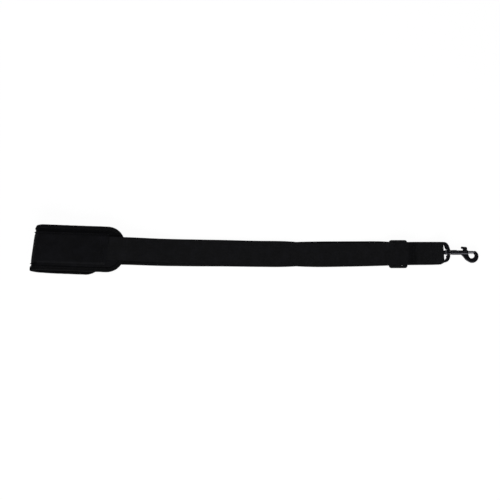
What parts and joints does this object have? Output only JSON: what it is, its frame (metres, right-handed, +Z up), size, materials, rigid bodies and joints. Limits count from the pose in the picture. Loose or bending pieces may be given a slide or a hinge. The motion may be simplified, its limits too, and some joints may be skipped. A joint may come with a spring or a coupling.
{
  "type": "string trimmer shoulder strap",
  "caption": "Webbing shoulder strap for a string trimmer, folded double and lying flat, with a padded shoulder piece, a slide adjuster and a swivel snap hook.",
  "frame": {"origin": "under the middle of the whole strap, on the surface that it lies on", "axes": "+X along the strap towards the snap hook, +Y across it, +Z up from the surface"},
  "size_m": [0.7312, 0.0814, 0.026],
  "materials": {
    "webbing": "woven polypropylene, dull",
    "pad_fabric": "woven polyester, dull",
    "binding_tape": "grosgrain tape, dull",
    "slide_plastic": "moulded, fine satin",
    "dark_nickel": "black nickel plate, glossy"
  },
  "bodies": {
    "strap": {"main_webbing": "webbing", "shoulder_pad": "pad_fabric", "pad_binding": "binding_tape", "pad_sleeve": "pad_fabric", "joining_tab": "webbing", "slide_adjuster": "slide_plastic"},
    "loop": {"swivel_loop": "dark_nickel"},
    "hook": {"hook_body": "dark_nickel"},
    "bolt": {"hook_bolt": "dark_nickel"}
  },
  "joints": [
    {"name": "loop_swing", "type": "hinge", "parent": "strap", "child": "loop", "pos_m": [0.3041, -0.00476, 0.004], "axis": [0, -1, 0], "range_deg": [0, 20]},
    {"name": "hook_swivel", "type": "hinge", "parent": "loop", "child": "hook", "pos_m": [0.318, -0.00476, 0.004], "axis": [-1, 0, 0], "continuous": true},
    {"name": "bolt_slide", "type": "slide", "parent": "hook", "child": "bolt", "axis": [-1, 0, 0], "range_m": [0, 0.0093], "stiffness_N_per_m": 300, "springref_m": -0.004}
  ]
}
